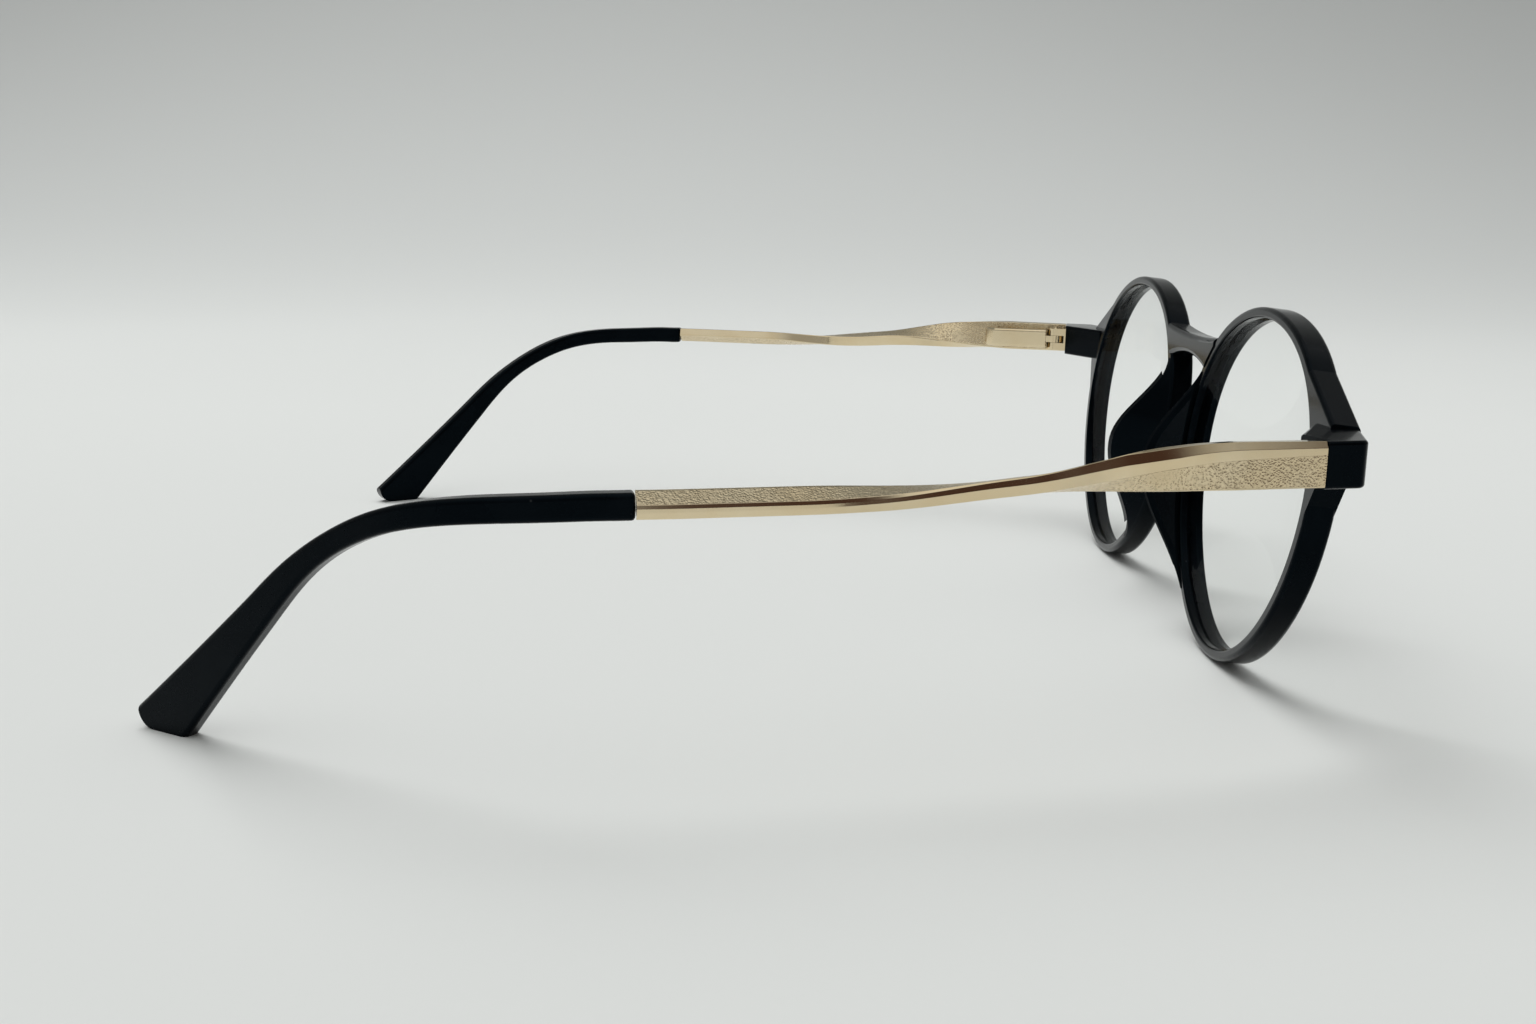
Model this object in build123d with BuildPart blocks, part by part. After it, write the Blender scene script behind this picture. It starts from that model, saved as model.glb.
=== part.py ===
"""Round eyeglasses: a moulded front with two lenses, sprung hinges and twisted metal temples.

The front faces -Y, the temples run towards +Y and +Z is up.  The glasses stand open on
Z = 0, on the bottoms of the rims and the ends of the temple tips.  X = 0 is the mirror
plane; the wearer's left side, at +X, is modelled and the right side mirrors it.
"""
from math import cos, pi, radians, sin, tan
import os

from build123d import *

# Driving dimensions, in millimetres and degrees.

# Lens openings and rims
eye_width = 49.4
eye_height = 44.8
eye_lift = 0.115          # how much the outline widens towards its top
nose_gap = 15.0           # between the two openings
rim_side = 2.0            # rim width beside the opening
rim_end = 1.4             # rim width above and below the opening
rim_depth = 3.6
rim_round = 0.55
rim_inner_round = 0.3
front_tilt = 5.97         # the top of the front leans forward
front_setback = 63.8      # from the origin forward to the foot of the front

# Lenses and their groove
groove_depth = 0.7
groove_width = 1.4
lens_gap = 0.06
lens_thickness = 2.0
lens_radius = 118.0
lens_inset = 0.26         # the pane's side edges sit this far behind the groove's middle

# Bridge
bridge_top = 41.0         # level of its upper edge, along the front
bridge_rise = 3.0         # height of its middle
bridge_depth = 4.0
bridge_arch = 2.4         # rise of its underside between the joins
bridge_join = 12.5        # half-width where its upper edge meets the rims
bridge_sag = 0.6          # dip of the upper edge between the rims
bridge_round = 0.8

# Nose pads, which are moulded with the rims
pad_reach = 8.7           # rearmost line of the pads, from the middle of the front
pad_level = 22.3          # height of that line along the front
pad_rise = 15.5           # the pad runs out into the rim this far above
pad_fall = 18.3           # and below that line
pad_thickness = 1.9
pad_splay = 27.0          # the pads open towards the face
pad_round = 0.7
join_margin = 1.0         # how far outside the opening the other parts join the rim

# Endpieces
block_height = 5.4
block_length = 4.9
block_width = 5.7
block_level = 33.4        # mid-height of the hinges
block_corner = 1.2        # rounding of the front corner
block_round = 0.45
block_sweep = 14.6        # its front face turns rearward
block_root = 0.1          # the endpiece starts this far beyond the lens opening
web_start = 7.4           # the sloping web leaves the rim this far inside the opening's side
web_top = 42.6
web_end = 4.6             # and reaches the endpiece this far outside it
web_foot = 3.2            # its lower corner, outside the opening's side
web_foot_level = 28.4
web_heel = 24.0           # level where it runs out along the rim

# Temple line
hinge_half_width = 71.2   # outer corner where endpiece and temple meet
hinge_behind = 1.6        # the same corner, behind the foot of the front
temple_splay = 12.6
bar_straight = 71.0       # straight length before the line turns parallel
bow_radius = 70.0
ear_straight = 4.0
ear_radius = 22.0
ear_turn = 31.0           # inward turn over the ear
drop_start = 90.6
drop_radius = 38.3
drop_angle = 44.6
settle = 0.6              # it sinks a little before the bend over the ear
settle_end = 96.0
dip_start = 12.7          # the bar's axis dips where it twists
dip_end = 51.6
dip = 2.4

# Twisted bar
bar_length = 76.6
bar_gap = 0.08            # between the endpiece and the bar
bar_front_height = 5.5
bar_rear_height = 3.1
bar_front_thickness = 1.9
bar_rear_thickness = 1.6
bar_taper_start = 3.0     # height
bar_taper_end = 42.0
bar_thin_start = 28.0     # thickness
bar_thin_end = 46.0
bar_edge = 0.3            # small bevels along the edges
bevel_depth = 0.45        # outer bevel at the front, across the thickness
bevel_drop = 0.65         # and down the outer face
bevel_top = 0.45          # slope of the upper bevel at the front
bevel_end = 50.0          # the upper bevels have run out to small ones here
twist_start = 14.2
twist_quick_end = 34.5    # the quick part of the twist ends here
twist_slow_start = 29.0
twist_end = 60.0
twist_quick = 92.0
twist_slow = 33.0

# Core wire and tip
core_radius = 0.7
core_length = 40.0
tip_gap = 0.1             # between the bar's end and the tip
tip_fit = 0.04
tip_front_height = 2.85
tip_neck_height = 2.6
tip_neck_run = 110.5
tip_paddle_height = 6.0
tip_paddle_run = 131.2
tip_flare = 1.35          # 1 widens the paddle evenly, more keeps it slim for longer
tip_loft_run = 142.0      # below the table, where the end is trimmed level
tip_front_thickness = 2.6
tip_end_thickness = 2.2
tip_round = 0.6
tip_end_run = 139.8       # rear limit of the tip
tip_heel = 2.4            # rounding of its lower rear corner
tip_front_round = 0.4

# Hinge
pin_behind = 2.0          # pin axis behind the endpiece's rear face
knuckle_radius = 1.5
knuckle_gap = 0.25        # between knuckles and bar
leaf_height = 4.0
leaf_width = 3.0
leaf_anchor = 3.0         # depth of the leaf's anchor in the endpiece
anchor_notch = 0.4
insert_gap = 0.02
slot_root = 0.35          # solid foot of the leaf behind the endpiece
knuckle_height = 1.3
knuckle_play = 0.05
screw_radius = 0.6
screw_fit = 0.02
pin_running_gap = 0.04
screw_head_radius = 1.0
screw_head_height = 0.5
screw_slot = 0.3

# Spring box
box_gap = 0.3             # between the knuckles and the box
box_length = 11.4
box_height = 3.4
box_depth = 3.4
box_bore_radius = 1.15
box_end_wall = 1.8
box_round = 0.45
box_slope = 1.6           # sloped rear end
neck_height = 1.2
neck_width = 2.6
neck_clear = 0.1          # between the neck and the box at rest
rod_radius = 0.5
rod_fit = 0.05
guide_length = 1.4
guide_fit = 0.02
nut_length = 1.2
nut_radius = 0.95
nut_fit = 0.01
nut_clear = 0.3           # behind the nut, inside the box
spring_wire_radius = 0.14
spring_radius = 0.86      # to the middle of the wire
spring_turns = 7
spring_clear = 0.05       # at each end

# Derived places
tilt = radians(front_tilt)
splay = radians(temple_splay)
eye_x = (nose_gap + eye_width) / 2
eye_level = rim_end + eye_height / 2
front_lift = (rim_depth / 2 - rim_round) * sin(tilt) + rim_round * (1 - cos(tilt))
front = Plane(
    origin=(0, -front_setback, front_lift),
    x_dir=(1, 0, 0),
    z_dir=(0, -cos(tilt), -sin(tilt)),
)
hinge = Plane(
    origin=(hinge_half_width, hinge_behind - front_setback, block_level),
    x_dir=(cos(splay), -sin(splay), 0),
    z_dir=(0, 0, 1),
)
front_levels = Plane(origin=front.origin, x_dir=(1, 0, 0), z_dir=front.y_dir)
pin_x = -(bar_front_thickness + knuckle_gap + knuckle_radius)
pin = Plane(
    origin=hinge.from_local_coords(Vector(pin_x, pin_behind, 0)),
    x_dir=hinge.x_dir,
    z_dir=hinge.z_dir,
)
lens_middle = Plane(
    origin=front.from_local_coords(Vector(eye_x, eye_level, 0)),
    x_dir=(1, 0, 0),
    z_dir=front.z_dir,
)
leaf_side = Plane(
    origin=hinge.from_local_coords(Vector(pin_x, 0, 0)),
    x_dir=hinge.y_dir,
    z_dir=hinge.x_dir,
)
leaf_mirror = Plane(
    origin=(-leaf_side.origin.X, leaf_side.origin.Y, leaf_side.origin.Z),
    x_dir=(-hinge.y_dir.X, hinge.y_dir.Y, 0),
    z_dir=(hinge.x_dir.X, -hinge.x_dir.Y, 0),
)
bore = Plane(
    origin=hinge.from_local_coords(Vector(pin_x, 0, 0)),
    x_dir=hinge.x_dir,
    z_dir=hinge.y_dir,
)
box_start = pin_behind + knuckle_radius + box_gap
box_end = box_start + box_length
nut_end = box_end - box_end_wall - nut_clear


def eye_point(turn, side_margin, end_margin):
    """Point of the lens outline, grown by a margin; turn 0 is the temple side."""
    reach = (eye_width / 2 + side_margin) * cos(turn) * (1 + eye_lift * sin(turn))
    return (eye_x + reach, eye_level + (eye_height / 2 + end_margin) * sin(turn))


def eye_face(side_margin, end_margin):
    """Closed outline of the left eye."""
    turns = [radians(15 * step) for step in range(24)]
    with BuildSketch() as eye:
        with BuildLine():
            Spline(*[eye_point(turn, side_margin, end_margin) for turn in turns], periodic=True)
        make_face()
    return eye.sketch


def ease(value, start, end):
    """Smooth step from 0 to 1."""
    share = min(max((value - start) / (end - start), 0), 1)
    return share * share * (3 - 2 * share)


def blend(share, first, last):
    return first + (last - first) * share


def even_runs(first, last, spans):
    return [blend(step / spans, first, last) for step in range(spans + 1)]


def temple_point(run):
    """Point of the temple's centre line after a run seen from above, in the hinge plane."""
    bow = bow_radius * splay
    turn = radians(ear_turn)
    x, y, heading = -bar_front_thickness / 2, 0.0, 0.0
    for length, radius in (
        (bar_straight, 0),
        (bow, bow_radius),
        (ear_straight, 0),
        (ear_radius * turn, ear_radius),
        (1e9, 0),
    ):
        part = min(run, length)
        if radius:
            bend = part / radius
            x += -radius * (cos(heading) - cos(heading + bend))
            y += radius * (sin(heading + bend) - sin(heading))
            heading += bend
        else:
            x -= part * sin(heading)
            y += part * cos(heading)
        run -= part
    return x, y, heading


def temple_level(run):
    """Height of the centre line above the hinge's middle."""
    slope = radians(drop_angle)
    fall_end = drop_start + drop_radius * sin(slope)
    level = -dip * ease(run, dip_start, dip_end) - settle * ease(run, bar_length, settle_end)
    if run > fall_end:
        return level - drop_radius * (1 - cos(slope)) - (run - fall_end) * tan(slope)
    if run > drop_start:
        fall = run - drop_start
        return level - drop_radius + (drop_radius**2 - fall**2) ** 0.5
    return level


def temple_plane(run):
    """Section plane across the temple: x is outward, y is up, z runs rearward."""
    step = 0.01
    x, y, heading = temple_point(run)
    rise = (temple_level(run + step) - temple_level(run - step)) / (2 * step)
    place = hinge.from_local_coords(Vector(x, y, temple_level(run)))
    ahead = hinge.from_local_coords(
        Vector(x - sin(heading), y + cos(heading), temple_level(run) + rise)
    )
    across = hinge.from_local_coords(
        Vector(x + cos(heading), y + sin(heading), temple_level(run))
    )
    return Plane(origin=place, x_dir=across - place, z_dir=place - ahead)


def bar_section(run, plane):
    """Eight-sided section of the twisted bar: outer face, two bevels, inner face."""
    share = ease(run, bar_taper_start, bar_taper_end)
    high = blend(share, bar_front_height, bar_rear_height) / 2
    share = ease(run, bar_thin_start, bar_thin_end)
    thick = blend(share, bar_front_thickness, bar_rear_thickness) / 2
    turn = twist_quick * ease(run, twist_start, twist_quick_end)
    turn = turn + twist_slow * ease(run, twist_slow_start, twist_end)
    share = ease(run, twist_start, bevel_end)
    with BuildSketch(plane) as section:
        with BuildLine(Rotation(0, 0, -turn)):
            Polyline(
                (thick, high - blend(share, bevel_top + bevel_drop, bar_edge)),
                (
                    blend(share, thick - bevel_depth * 0.4, thick - bar_edge),
                    high - blend(share, bevel_top + bevel_drop * 0.45, 0),
                ),
                (
                    blend(share, thick - bevel_depth, -thick + bar_edge),
                    high - blend(share, bevel_top, 0),
                ),
                (-thick, high - blend(share, 0, bar_edge)),
                (-thick, -high + bar_edge),
                (-thick + bar_edge, -high),
                (thick - bar_edge, -high),
                (thick, -high + bar_edge),
                close=True,
            )
        make_face()
    return section.sketch


def tip_height(run):
    """Height of the tip across its line: a slim neck that widens into a paddle."""
    if run < tip_neck_run:
        return blend(ease(run, bar_length, tip_neck_run), tip_front_height, tip_neck_height)
    share = (run - tip_neck_run) / (tip_paddle_run - tip_neck_run)
    return blend(share**tip_flare, tip_neck_height, tip_paddle_height)


def tip_section(run, plane):
    share = ease(run, bar_length, tip_paddle_run)
    with BuildSketch(plane) as section:
        RectangleRounded(
            blend(share, tip_front_thickness, tip_end_thickness),
            tip_height(run),
            tip_round,
        )
    return section.sketch


def core_section(plane, margin):
    with BuildSketch(plane) as section:
        Circle(core_radius + margin)
    return section.sketch


def nose_side(level, margin):
    """Half-width of the lens outline towards the nose, grown by a margin."""
    share = (level - eye_level) / (eye_height / 2 + margin)
    return eye_x - (eye_width / 2 + margin) * (1 - share**2) ** 0.5 * (1 + eye_lift * share)


def pad_section(level):
    """Level slice of a nose pad, from inside the rim to its rear edge."""
    share = (level - pad_level) / (pad_rise if level > pad_level else pad_fall)
    turn = radians(pad_splay)
    root_x = nose_side(level, rim_side / 2)
    root_y = rim_depth / 4
    reach = blend((1 + cos(pi * share)) / 2, rim_depth / 2, pad_reach)
    length = (reach - root_y) / cos(turn)
    half = pad_thickness / 2
    with BuildSketch(front_levels.offset(level)) as section:
        with BuildLine(Location((root_x, root_y), -pad_splay)):
            Polyline(
                (-half + pad_round, length),
                (-half, length - pad_round),
                (-half, 0),
                (half, 0),
                (half, length - pad_round),
                (half - pad_round, length),
                close=True,
            )
        make_face()
    return section.sketch


def anchor_face(margin):
    """Side view of the leaf's notched anchor, grown by a margin."""
    half = leaf_height / 2 + margin
    notch = leaf_height / 2 - anchor_notch + margin
    with BuildSketch() as anchor:
        with BuildLine():
            Polyline(
                (slot_root, half),
                (-leaf_anchor / 3 - margin, half),
                (-leaf_anchor / 3 - margin, notch),
                (-leaf_anchor * 2 / 3 + margin, notch),
                (-leaf_anchor * 2 / 3 + margin, half),
                (-leaf_anchor - margin, half),
                (-leaf_anchor - margin, -half),
                (-leaf_anchor * 2 / 3 + margin, -half),
                (-leaf_anchor * 2 / 3 + margin, -notch),
                (-leaf_anchor / 3 - margin, -notch),
                (-leaf_anchor / 3 - margin, -half),
                (slot_root, -half),
                close=True,
            )
        make_face()
    return anchor.sketch


# Hinge leaf: an anchor moulded into the endpiece and two lugs around the pin

with BuildPart() as hinge_leaf:
    with BuildSketch(leaf_side):
        add(anchor_face(0))
    extrude(amount=leaf_width / 2, both=True)
    for way in (1, -1):
        with BuildSketch(pin.offset(way * leaf_height / 2)):
            Circle(knuckle_radius)
            with Locations((0, (slot_root - pin_behind) / 2)):
                Rectangle(leaf_width, pin_behind - slot_root)
        extrude(amount=-way * (leaf_height / 2 - knuckle_height / 2 - knuckle_play))
    with Locations(pin):
        Cylinder(screw_radius + screw_fit, 2 * leaf_height, mode=Mode.SUBTRACT)
    with Locations(pin.offset(leaf_height / 2)):
        Cone(
            screw_radius + screw_fit,
            screw_head_radius + screw_fit,
            screw_head_height,
            align=(Align.CENTER, Align.CENTER, Align.MAX),
            mode=Mode.SUBTRACT,
        )

# Hinge screw, which is the pin

with BuildPart() as hinge_screw:
    with BuildSketch(pin.offset(-leaf_height / 2)):
        Circle(screw_radius)
    extrude(amount=leaf_height - screw_head_height)
    with Locations(pin.offset(leaf_height / 2)):
        Cone(
            screw_radius,
            screw_head_radius,
            screw_head_height,
            align=(Align.CENTER, Align.CENTER, Align.MAX),
        )
        Box(
            3 * screw_head_radius,
            screw_slot,
            screw_slot,
            align=(Align.CENTER, Align.CENTER, Align.MAX),
            mode=Mode.SUBTRACT,
        )

# Hinge slider: the moving knuckle, its neck and the rod that runs into the spring box

with BuildPart() as hinge_slider:
    with Locations(pin):
        Cylinder(knuckle_radius, knuckle_height)
        Box(
            neck_width,
            box_start - neck_clear - pin_behind,
            neck_height,
            align=(Align.CENTER, Align.MIN, Align.CENTER),
        )
        Cylinder(screw_radius + pin_running_gap, leaf_height, mode=Mode.SUBTRACT)
    with BuildSketch(bore.offset(box_start - neck_clear - rod_radius)):
        Circle(rod_radius)
    extrude(amount=nut_end - box_start + neck_clear + rod_radius)

# Nut that holds the spring on the rod

with BuildPart() as rod_nut:
    with BuildSketch(bore.offset(nut_end - nut_length)):
        Circle(nut_radius)
        Circle(rod_radius + nut_fit, mode=Mode.SUBTRACT)
    extrude(amount=nut_length)

# Spring around the rod, between the guide and the nut

spring_start = box_start + guide_length + spring_clear
spring_length = nut_end - nut_length - spring_clear - spring_start
spring_rise = spring_length - 2 * spring_wire_radius

with BuildPart() as hinge_spring:
    with BuildLine():
        coil = Helix(
            spring_rise / spring_turns,
            spring_rise,
            spring_radius,
            center=bore.offset(spring_start + spring_wire_radius).origin,
            direction=bore.z_dir,
        )
    with BuildSketch(Plane(coil @ 0, z_dir=coil % 0)):
        Circle(spring_wire_radius)
    sweep()

# Spring guide, a bush fixed in the mouth of the box

with BuildPart() as spring_guide:
    with BuildSketch(bore.offset(box_start)):
        Circle(box_bore_radius - guide_fit)
        Circle(rod_radius + rod_fit, mode=Mode.SUBTRACT)
    extrude(amount=guide_length)

# Spring box, fixed on the inner face of the bar

box_corner = hinge.from_local_coords(Vector(-bar_front_thickness, box_start, 0))

with BuildPart() as spring_box:
    with Locations(Plane(box_corner, x_dir=hinge.x_dir, z_dir=hinge.z_dir)):
        Box(box_depth, box_length, box_height, align=(Align.MAX, Align.MIN, Align.CENTER))
    rear_edge = edges().filter_by(Axis.Z).sort_by(Axis(hinge.origin, hinge.y_dir))[-2:]
    chamfer(rear_edge.sort_by(Axis(hinge.origin, hinge.x_dir))[0], box_slope)
    bar_face = faces().sort_by(Axis(hinge.origin, hinge.x_dir))[-1]
    mouth = faces().sort_by(Axis(hinge.origin, hinge.y_dir))[0]
    fillet(edges() - bar_face.edges() - mouth.edges(), box_round)
    with BuildSketch(bore.offset(box_start)):
        Circle(box_bore_radius)
    extrude(amount=box_length - box_end_wall, mode=Mode.SUBTRACT)

# Temple: the twisted bar, drawn out into a core wire for the tip

bar_runs = even_runs(bar_gap, bar_length, 26)
core_runs = even_runs(bar_length, bar_length + core_length, 10)

with BuildPart() as temple:
    for run in bar_runs:
        add(bar_section(run, temple_plane(run)))
    loft()
    for run in core_runs:
        add(core_section(temple_plane(run), 0))
    loft()

# Temple tip, slipped over the core wire and trimmed level where it stands

tip_start = bar_length + tip_gap
tip_ahead = temple_plane(tip_loft_run).x_dir.cross(Vector(0, 0, -1))
tip_line = temple_plane(tip_loft_run).origin - tip_ahead * tip_loft_run
tip_side = Plane(
    origin=(tip_line.X, tip_line.Y, 0),
    x_dir=tip_ahead,
    z_dir=tip_ahead.cross(Vector(0, 0, 1)),
)
tip_runs = even_runs(tip_start, tip_loft_run, 18)
slot_runs = even_runs(bar_length - 1, bar_length + core_length + tip_gap, 10)

with BuildPart() as temple_tip:
    for run in tip_runs:
        add(tip_section(run, temple_plane(run)))
    loft()
    with BuildSketch(tip_side):
        with Locations((tip_end_run, 0)):
            Rectangle(tip_end_run, tip_end_run, align=(Align.MAX, Align.MIN))
        fillet(vertices().sort_by(Axis.Y)[:2].sort_by(Axis.X)[-1], tip_heel)
    extrude(amount=tip_end_run, both=True, mode=Mode.INTERSECT)
    mouth = faces().sort_by(Axis.Y)[0]
    fillet(mouth.edges(), tip_front_round)
    for run in slot_runs:
        add(core_section(temple_plane(run), tip_fit))
    loft(mode=Mode.SUBTRACT)

# Rim around the left lens, with the groove that holds it

with BuildPart() as rim:
    with BuildSketch(front.offset(rim_depth / 2)):
        add(eye_face(rim_side, rim_end))
        add(eye_face(0, 0), mode=Mode.SUBTRACT)
    extrude(amount=-rim_depth)
    fillet(edges().filter_by(GeomType.BSPLINE).sort_by(SortBy.LENGTH)[:2], rim_inner_round)
    fillet(edges().filter_by(GeomType.BSPLINE).sort_by(SortBy.LENGTH)[-2:], rim_round)
    for step, margin in ((-1, 0), (0, groove_depth), (1, 0)):
        with BuildSketch(front.offset(step * groove_width / 2)):
            add(eye_face(margin, margin))
    loft(ruled=True, mode=Mode.SUBTRACT)

# Endpiece: a sloping web beside the rim and the block that carries the hinge

eye_side = eye_x + eye_width / 2
block_middle = -front_setback - block_level * tan(tilt)
block_bottom = block_level - block_height / 2
outer_front = hinge.from_local_coords(Vector(0, -block_length, 0))
outer_rear = hinge.from_local_coords(Vector(0, 0, 0))
inner_rear = hinge.from_local_coords(Vector(-block_width, 0, 0))

with BuildPart() as endpiece:
    with BuildSketch(front.offset(rim_depth / 2)):
        with BuildLine():
            Polyline(
                (eye_side - web_start, web_top),
                (eye_side + web_end, block_level + block_height / 2 + block_round),
                (eye_side + web_end, block_bottom + block_round),
                (eye_side + web_foot, web_foot_level),
                (eye_side + join_margin, web_heel),
                (eye_side - web_start, web_heel),
                close=True,
            )
        make_face()
    extrude(amount=-rim_depth)
    faces_across = faces().filter_by(Axis(front.origin, front.z_dir)).edges()
    fillet(faces_across.sort_by(Axis(front.origin, front.y_dir))[-2:], rim_round)

with BuildPart() as block:
    with BuildSketch(Plane.XY.offset(block_bottom)):
        with BuildLine():
            Polyline(
                (
                    eye_side + block_root,
                    outer_front.Y
                    - (outer_front.X - eye_side - block_root) * tan(radians(block_sweep)),
                ),
                (outer_front.X, outer_front.Y),
                (outer_rear.X, outer_rear.Y),
                (inner_rear.X, inner_rear.Y),
                (eye_side + block_root, block_middle + rim_depth / 2),
                close=True,
            )
        make_face()
    extrude(amount=block_height)
    fillet(edges().filter_by(Axis.Z).sort_by(Axis.Y)[1], block_corner)
    rear = faces().sort_by(Axis(hinge.origin, hinge.y_dir))[-1]
    fillet(faces().filter_by(Axis.Z).edges() - rear.edges(), block_round)
    with BuildSketch(front.offset(rim_depth / 2)):
        with Locations((eye_side, block_level)):
            Rectangle(eye_width, eye_height)
    extrude(amount=eye_width, mode=Mode.SUBTRACT)

# Nose pad, a wing that leans back from the rim

with BuildPart() as pad:
    for step in range(11):
        add(pad_section(pad_level - pad_fall + (pad_fall + pad_rise) * (step + 0.5) / 11))
    loft()

# Bridge, arched over the nose

bridge_foot = bridge_top - bridge_rise

with BuildPart() as bridge:
    with BuildSketch(front.offset(bridge_depth / 2)):
        with BuildLine():
            ThreePointArc(
                (-bridge_join, bridge_top + bridge_sag),
                (0, bridge_top),
                (bridge_join, bridge_top + bridge_sag),
            )
            Line((bridge_join, bridge_top + bridge_sag), (bridge_join, bridge_foot - bridge_arch))
            ThreePointArc(
                (bridge_join, bridge_foot - bridge_arch),
                (0, bridge_foot),
                (-bridge_join, bridge_foot - bridge_arch),
            )
            Line((-bridge_join, bridge_foot - bridge_arch), (-bridge_join, bridge_top + bridge_sag))
        make_face()
    extrude(amount=-bridge_depth)
    fillet(edges().filter_by(GeomType.CIRCLE), bridge_round)

# Front: all of these in one moulding, with a pocket for each hinge leaf

with BuildPart() as front_frame:
    add(endpiece.part)
    add(block.part)
    add(pad.part)
    mirror(about=Plane.YZ)
    add(bridge.part)
    for side in (front, Plane(front.origin, x_dir=(-1, 0, 0), z_dir=-front.z_dir)):
        with BuildSketch(side):
            add(eye_face(join_margin, join_margin))
        extrude(amount=rim_depth / 2 + 1, both=True, mode=Mode.SUBTRACT)
    add(rim.part)
    mirror(rim.part, about=Plane.YZ)
    for side in (leaf_side, leaf_mirror):
        with BuildSketch(side):
            add(anchor_face(insert_gap))
        extrude(amount=leaf_width / 2 + insert_gap, both=True, mode=Mode.SUBTRACT)

# Lens: a curved pane with a bevelled edge that sits in the groove

lens_crown = (eye_width / 2) ** 2 / (2 * lens_radius) - lens_inset

with BuildPart() as lens:
    with BuildSketch(front.offset(2 * rim_depth)):
        add(eye_face(-lens_gap, -lens_gap))
    extrude(amount=-4 * rim_depth)
    for step, margin in ((-1, 0), (0, groove_depth), (1, 0)):
        with BuildSketch(front.offset(step * groove_width / 2)):
            add(eye_face(margin - lens_gap, margin - lens_gap))
    loft(ruled=True)
    with Locations(lens_middle.offset(lens_crown + lens_thickness / 2 - lens_radius)):
        Sphere(lens_radius, mode=Mode.INTERSECT)
        Sphere(lens_radius - lens_thickness, mode=Mode.SUBTRACT)

# Export: the left pieces, their mirrored twins and the front

os.makedirs("parts", exist_ok=True)
front_frame.part.label = "front_frame"
export_step(front_frame.part, "parts/front_frame.step")

left_pieces = {
    "lens": lens,
    "hinge_leaf": hinge_leaf,
    "hinge_screw": hinge_screw,
    "hinge_slider": hinge_slider,
    "rod_nut": rod_nut,
    "hinge_spring": hinge_spring,
    "spring_guide": spring_guide,
    "spring_box": spring_box,
    "temple": temple,
    "temple_tip": temple_tip,
}

for name, piece in left_pieces.items():
    piece.part.label = f"{name}_left"
    export_step(piece.part, f"parts/{name}_left.step")
    with BuildPart() as twin:
        mirror(piece.part, about=Plane.YZ)
    twin.part.label = f"{name}_right"
    export_step(twin.part, f"parts/{name}_right.step")
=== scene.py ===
import math

import bmesh
import bpy
from mathutils import Matrix, Vector


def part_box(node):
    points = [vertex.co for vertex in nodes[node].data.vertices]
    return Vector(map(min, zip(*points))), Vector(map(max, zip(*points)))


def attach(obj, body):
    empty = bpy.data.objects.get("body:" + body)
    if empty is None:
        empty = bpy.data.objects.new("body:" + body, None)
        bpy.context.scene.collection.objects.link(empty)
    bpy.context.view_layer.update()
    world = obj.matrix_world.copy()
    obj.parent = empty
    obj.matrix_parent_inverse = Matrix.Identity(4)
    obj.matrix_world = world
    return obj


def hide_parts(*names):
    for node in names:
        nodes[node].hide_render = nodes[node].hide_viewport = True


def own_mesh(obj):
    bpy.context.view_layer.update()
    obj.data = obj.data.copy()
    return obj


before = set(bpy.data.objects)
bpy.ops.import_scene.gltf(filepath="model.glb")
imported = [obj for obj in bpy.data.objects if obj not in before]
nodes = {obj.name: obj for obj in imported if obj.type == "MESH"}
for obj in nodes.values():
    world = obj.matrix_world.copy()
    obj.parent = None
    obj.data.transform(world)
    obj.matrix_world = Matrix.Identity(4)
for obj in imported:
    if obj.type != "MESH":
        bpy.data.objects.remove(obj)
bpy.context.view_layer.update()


# Front: rims, bridge, nose pads and endpieces in one piece of black plastic.
# It comes polished from its mould, with a faint ripple and fine handling marks on the gloss.

PLASTIC_DARK = (0.0009, 0.0014, 0.0020)
PLASTIC_WORN = (0.0030, 0.0040, 0.0052)
PLASTIC_DUST = (0.10, 0.10, 0.10)
PLASTIC_SHEEN = (0.45, 0.75, 1.0)


class Wire:
    """A socket of a node tree. Arithmetic on wires adds Math nodes."""

    def __init__(self, tree, socket=None):
        self.tree = tree
        self.socket = socket

    def node(self, kind, settings, inputs, out=0):
        made = self.tree.nodes.new(kind)
        for name, value in settings.items():
            setattr(made, name, value)
        for name, value in inputs.items():
            if isinstance(value, Wire):
                self.tree.links.new(value.socket, made.inputs[name])
            else:
                made.inputs[name].default_value = value
        return Wire(self.tree, made.outputs[out])

    def maths(self, operation, *values):
        return self.node("ShaderNodeMath", {"operation": operation}, dict(enumerate(values)))

    def __add__(self, other):
        return self.maths("ADD", self, other)

    def __radd__(self, other):
        return self.maths("ADD", other, self)

    def __sub__(self, other):
        return self.maths("SUBTRACT", self, other)

    def __rsub__(self, other):
        return self.maths("SUBTRACT", other, self)

    def __mul__(self, other):
        return self.maths("MULTIPLY", self, other)

    def __rmul__(self, other):
        return self.maths("MULTIPLY", other, self)

    def __truediv__(self, other):
        return self.maths("DIVIDE", self, other)

    def __rtruediv__(self, other):
        return self.maths("DIVIDE", other, self)

    def between(self, low, high):
        """0 below low, 1 above high and a smooth step between them."""
        settings = {"interpolation_type": "SMOOTHSTEP"}
        return self.node("ShaderNodeMapRange", settings, {"Value": self, "From Min": low, "From Max": high})

    def colours(self, first, second):
        """A colour that goes from first to second as this value goes from 0 to 1."""
        return self.node("ShaderNodeMix", {"data_type": "RGBA"}, {0: self, 6: first, 7: second}, out=2)


def rgba(colour):
    return (*colour, 1.0)


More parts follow.
